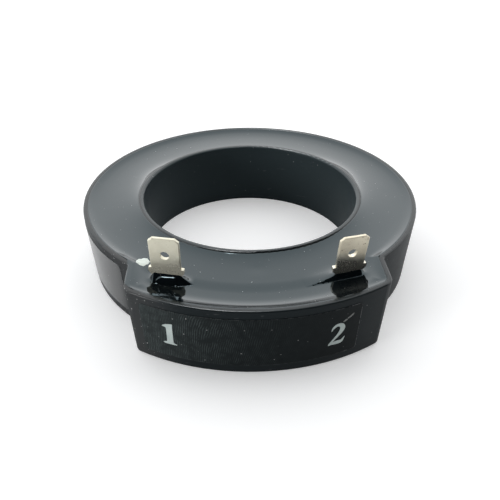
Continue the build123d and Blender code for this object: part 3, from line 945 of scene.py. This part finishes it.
# %% Label film
film_thickness = 0.12
label_height = 12.7
label_corner = 0.8
label_from_rim = 2.0
label_low = rim_level - label_from_rim - label_height
label_middle_drop = (rim_level - label_low - label_height / 2) * wall_slope


def on_wall(top_radius, middle_angle, along, level, lift):
    """Points on a leaning round wall: along is measured on the wall from the label's
    middle, and lift is the height off the wall's skin."""
    angle = middle_angle + along / (top_radius - label_middle_drop)
    radius = top_radius - (rim_level - level) * wall_slope + lift
    return np.stack([*round_axis(radius, angle), level + 0 * angle], axis=-1)


def make_label(name, top_radius, middle_angle, length):
    """A film label with rounded corners, a UV map in metres and its room to the edge."""
    across = np.concatenate([[0.0, 0.004, 0.01], np.linspace(0.02, 0.98, 121), [0.99, 0.996, 1.0]])
    lower, upper = [0.0, 0.01, 0.022, 0.04], [0.96, 0.978, 0.99, 1.0]
    up = np.concatenate([lower, np.linspace(0.065, 0.935, 41), upper])
    level = label_low + label_height * up[None, :]
    straight = label_height / 2 - label_corner
    into_corner = np.maximum(np.abs(up - 0.5) * label_height - straight, 0.0)
    drawn_in = label_corner - np.sqrt(np.maximum(label_corner**2 - into_corner**2, 0.0))
    half = length / 2 - drawn_in[None, :]
    along = (2 * across[:, None] - 1) * half
    level = level + 0 * along
    ripple = 0.012 * np.sin(along / 2.7) * np.sin(level / 3.1 + along / 9.0)
    front = on_wall(top_radius, middle_angle, along, level, film_thickness + ripple)
    back = on_wall(top_radius, middle_angle, along, level, 0.01)
    piece = make_plate(name, front, back, "label_film", sharp=40.0)
    mesh = piece.data
    corners = np.zeros(len(mesh.loops), dtype=np.int32)
    mesh.loops.foreach_get("vertex_index", corners)
    flat = np.stack([along, level - label_low], axis=2).reshape(-1, 2) * mm
    both = np.concatenate([flat, flat])
    uv = mesh.uv_layers.new(name="film")
    uv.data.foreach_set("uv", both[corners].astype(np.float32).ravel())
    room_up = np.minimum(level - label_low, label_low + label_height - level)
    room = np.maximum(np.minimum(half - np.abs(along), room_up), 0.0).ravel() * mm
    edge_room = mesh.attributes.new("edge_room", "FLOAT", "POINT")
    edge_room.data.foreach_set("value", np.concatenate([room, room]).astype(np.float32))
    return piece


label_length = 46.0
number_label_shift = -2.1
number_label_angle = number_label_shift / (boss_radius - label_middle_drop)
number_label = make_label("number_label_film", boss_radius, number_label_angle, label_length)

# %% Side label
side_from_boss = 3.0
boss_root_turn = np.arcsin(boss_half_width / ring_radius)
side_label_turn = (side_from_boss + label_length / 2) / (ring_radius - label_middle_drop)
side_label_angle = -(boss_root_turn + side_label_turn)
side_label = make_label("side_label_film", ring_radius, side_label_angle, label_length)
print("side label turned", np.degrees(side_label_angle).round(2), "degrees from the front")

# %% [markdown]
# ## Numbers
#
# The numbers are where the black print is left out, so the silver shows.  The 1 is a shape
# whose left and right borders are functions of the height.  The 2 is drawn as a pen would:
# two strokes, each a path whose width changes along it.

# %% Number strokes
number_lift = 0.02
number_depth = 0.05
stroke_points = 72


def smooth_path(knots, count):
    """A curve through knots, as rows of x, y and width: between two knots it is the cubic
    that leaves and arrives in the direction of the neighbours (Catmull and Rom)."""
    knots = np.asarray(knots, float)
    ends = np.concatenate([2 * knots[:1] - knots[1:2], knots, 2 * knots[-1:] - knots[-2:-1]])
    place = np.linspace(0, len(knots) - 1, count)
    index = np.minimum(place.astype(int), len(knots) - 2)
    t = (place - index)[:, None]
    a, b, c, d = (ends[index + k] for k in range(4))
    square, cube = 2 * a - 5 * b + 4 * c - d, 3 * b - a - 3 * c + d
    return 0.5 * (2 * b + (c - a) * t + square * t**2 + cube * t**3)


def pen_stroke(knots):
    """Left and right borders of a stroke: the path, half a width to each side of it."""
    path = smooth_path(knots, stroke_points)
    along = np.gradient(path[:, :2], axis=0)
    along = along / np.linalg.norm(along, axis=1)[:, None]
    side = np.stack([-along[:, 1], along[:, 0]], axis=1) * np.maximum(path[:, 2:], 0.05) / 2
    return path[:, :2] + side, path[:, :2] - side


def number_piece(name, left, right, middle_angle, low_level):
    """A silver shape between two borders, laid over the number label."""
    share = np.linspace(0, 1, 9)[None, :, None]
    flat = left[:, None, :] * (1 - share) + right[:, None, :] * share
    along = flat[:, :, 0]
    level = low_level + flat[:, :, 1]
    lift = film_thickness + number_lift
    front = on_wall(boss_radius, middle_angle, along, level, lift)
    back = on_wall(boss_radius, middle_angle, along, level, lift - number_depth)
    return make_plate(name, front, back, "number_silver", sharp=40.0)


print("number tools ready")

# %% Number 1
one_angle, one_low = radians(-22.3), 5.8
one_height = 5.76
one_left_border = [
    (0.0, -1.2), (0.15, -1.62), (0.32, -1.7), (0.45, -1.5), (0.62, -0.95),
    (0.8, -0.84), (3.9, -0.74), (4.5, -0.78), (4.68, -1.0), (4.76, -1.5),
    (4.84, -1.64), (5.06, -1.42), (5.43, -0.8), (5.66, -0.04), (one_height, 0.6),
]
one_right_border = [
    (0.0, 1.2), (0.12, 1.34), (0.26, 1.2), (0.36, 0.8),
    (0.64, 0.57), (3.9, 0.6), (5.0, 0.64), (one_height, 0.74),
]
one_level = np.linspace(0.0, one_height, 140)
one_left, one_right = (
    np.stack([np.interp(one_level, *zip(*border)), one_level], axis=1)
    for border in (one_left_border, one_right_border)
)
number_one = number_piece("number_one", one_left, one_right, one_angle, one_low)

# %% Number 2
two_angle, two_low = radians(19.0), 5.25
two_size = 0.84
two_bowl = pen_stroke(two_size * np.array([
    (-1.75, 4.75, 0.10), (-1.35, 5.75, 0.62), (-0.35, 6.45, 0.85),
    (0.75, 6.15, 1.15), (1.15, 5.05, 1.35), (0.65, 3.75, 1.05),
    (-0.45, 2.30, 0.70), (-1.75, 0.75, 0.45), (-2.20, 0.25, 0.20),
]))
two_foot = pen_stroke(two_size * np.array([
    (-2.15, 0.12, 0.10), (-1.20, 0.55, 0.85), (0.10, 0.62, 1.15),
    (1.20, 0.72, 0.95), (1.75, 1.45, 0.45), (2.05, 2.10, 0.10),
]))
number_two = number_piece("number_two", *two_bowl, two_angle, two_low)
number_two_foot = number_piece("number_two_foot", *two_foot, two_angle, two_low)

# %% [markdown]
# ## Paint mark
#
# The dab is a disc grid whose outline wanders in and out with the direction, thick in the
# middle and thin at its edge, lying on the resin's own height.

# %% Paint dab
dab_radius = 1.39
dab_thickness = 0.16
dab_stretch = 1.15
dab_over, dab_under = 0.02, 0.1
dab_middle = np.array([-24.4, -29.55])
dab_u, dab_v = disc_grid(45)
dab_share = np.minimum(np.hypot(dab_u, dab_v), 1.0)
dab_turn = np.arctan2(dab_v, dab_u)
wander = 1 + 0.10 * np.sin(2 * dab_turn + 0.7) + 0.05 * np.sin(5 * dab_turn + 2.0)
wander = wander + 0.03 * np.sin(9 * dab_turn)
dab_x = dab_middle[0] + dab_radius * dab_u * (1 + (wander - 1) * dab_share)
dab_y = dab_middle[1] + dab_stretch * dab_radius * dab_v * (1 + (wander - 1) * dab_share)
uneven = 1 + 0.15 * np.sin(3 * dab_u) * np.cos(2 * dab_v)
dab_rise = dab_thickness * np.sqrt(np.maximum(1 - dab_share**3, 0.0)) * uneven
dab_base = resin_height(dab_x, dab_y)
dab_front = np.stack([dab_x, dab_y, dab_base + dab_over + dab_rise], axis=2)
dab_back = np.stack([dab_x, dab_y, dab_base - dab_under], axis=2)
paint_mark = make_plate("paint_mark", dab_front, dab_back, "marking_paint", sharp=60.0)

# %% [markdown]
# ## Where the pieces belong
#
# Every piece rides on the one body.  The resin, the labels and the paint stand for solids
# of the model, which stay for collision.

# %% Ride and replace
for piece, slot_name in (
    (resin, "potting_resin"),
    (bead, "potting_resin"),
    (number_label, "label_film"),
    (side_label, "label_film"),
    (number_one, "label_film"),
    (number_two, "label_film"),
    (number_two_foot, "label_film"),
    (paint_mark, "marking_paint"),
):
    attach(piece, "root")
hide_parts("potting_resin")
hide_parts("number_label")
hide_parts("side_label")
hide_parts("paint_dot")

# %% Finishes of the solids that stay
finishes = {
    "housing_plastic": ["housing"],
    "terminal_metal": ["terminal_1", "terminal_2"],
    "core_alloy": ["core"],
    "case_plastic": ["core_case_tray", "core_case_lid"],
    "pad_foam": ["core_pad_lower", "core_pad_upper"],
    "winding_copper": ["secondary_winding"],
    "tape_polyester": ["winding_tape"],
    "lead_copper": ["lead_1", "lead_2"],
    "sleeve_tubing": ["sleeve_1", "sleeve_2"],
    "solder": ["solder_joint_1", "solder_joint_2"],
}
for finish, names in finishes.items():
    for name in names:
        for slot in nodes[name].material_slots:
            slot.material = materials[finish]
print("finished nodes:", sum(len(names) for names in finishes.values()))

# %% [markdown]
# ## Floor and light
#
# The part stands on a plain pale floor inside a light tent: soft panels behind it, at both
# sides and overhead, edge to edge, so that the resin mirrors one even field of light.  In
# front the tent is open and dark, as where a camera looks in, with a black card there for
# the tabs to mirror.  The floor and the world are brighter to the camera and to mirrors than
# the light they give, so the ground is white and the part dark.

# %% Floor
def stage_card(name, corners):
    """A flat four-cornered card in metres that isn't part of the object."""
    mesh = bpy.data.meshes.new(name)
    mesh.from_pydata(corners, [], [(0, 1, 2, 3)])
    mesh.materials.append(materials[name])
    card = add_object(name, mesh)
    return card


def seen_by(tree, *kinds):
    """1 for light paths of these kinds and 0 for all others."""
    path = put(tree, "LightPath").outputs
    seen = path[kinds[0]]
    for kind in kinds[1:]:
        seen = calc("MAXIMUM", seen, path[kind])
    return seen


floor_half = 1.6
floor_drop = -0.05 * mm
floor_glow = 0.3
white = (1.0, 1.0, 1.0)
floor_colour = (0.86, 0.87, 0.88)
tree, shader = start_material("floor", 0.0, 0.7, Base_Color=floor_colour, Emission_Color=white)
glow = times(seen_by(tree, "Is Camera Ray", "Is Glossy Ray"), floor_glow)
feed(shader["Emission Strength"], glow)
round_the_floor = ((-1, -1), (1, -1), (1, 1), (-1, 1))
stage_card("floor", [(x * floor_half, y * floor_half, floor_drop) for x, y in round_the_floor])

# %% Black card
card_half = 2.5
card_foot, card_head = (-0.9, 0.03), (-0.12, 1.06)  # y and z of its lower and upper edge
card_black = (0.004, 0.004, 0.004)
start_material("black_card", 0.0, 0.9, Base_Color=card_black, Specular_IOR_Level=0.0)
round_the_card = ((-1, card_foot), (1, card_foot), (1, card_head), (-1, card_head))
black_card = stage_card("black_card", [(x * card_half, *edge) for x, edge in round_the_card])
black_card.visible_camera = False
black_card.visible_diffuse = False
black_card.visible_shadow = False

# %% [markdown]
# The panels of the tent are equally bright.  A small strong lamp overhead gives the bead its
# glint and leaves dull surfaces alone, and one low at the front left lights the flank of the
# ring and the fronts of the tabs.

# %% Soft boxes
def soft_box(name, place, aim, width, height, brightness):
    """A flat lamp of a size in metres, turned to face a point.  Its power is its brightness
    times pi times its area, so that lamps of any size compare by their brightness."""
    data = bpy.data.lights.new(name, "AREA")
    data.shape = "RECTANGLE"
    data.size = width
    data.size_y = height
    data.energy = brightness * pi * width * height
    box = add_object(name, data)
    box.location = place
    box.rotation_euler = (Vector(aim) - Vector(place)).to_track_quat("-Z", "Y").to_euler()
    print(f"{name}: power {data.energy:.2f} W")
    return box


tent = 1.15
glint_brightness = 20.0
front_brightness = 15.0
soft_box("tent_back", (0, 0.8, 0.55), (0, 0, 0.55), 1.6, 0.9, tent)
soft_box("tent_left", (-0.8, 0.35, 0.55), (0, 0.35, 0.55), 0.9, 0.9, tent)
soft_box("tent_right", (0.8, 0.35, 0.55), (0, 0.35, 0.55), 0.9, 0.9, tent)
soft_box("tent_top", (0, 0.35, 1.0), (0, 0.35, 0), 1.6, 0.9, tent)
glint = soft_box("glint", (-0.12, 0.06, 0.75), (-0.02, -0.04, 0), 0.36, 0.24, glint_brightness)
glint.visible_diffuse = False
soft_box("front_left", (-0.62, -0.36, 0.16), (-0.02, -0.03, 0.02), 0.25, 0.2, front_brightness)

# %% World
world = bpy.data.worlds.new("world")
bpy.context.scene.world = world
world.use_nodes = True
tree = world.node_tree
background = tree.nodes["Background"].inputs
even_light = 0.25
seen = seen_by(tree, "Is Camera Ray", "Is Glossy Ray", "Is Transmission Ray")
feed(background["Strength"], plus(times(seen, 1 - even_light), even_light))
feed(background["Color"], white)
bpy.context.scene.view_settings.view_transform = "Standard"
print("world light:", even_light)
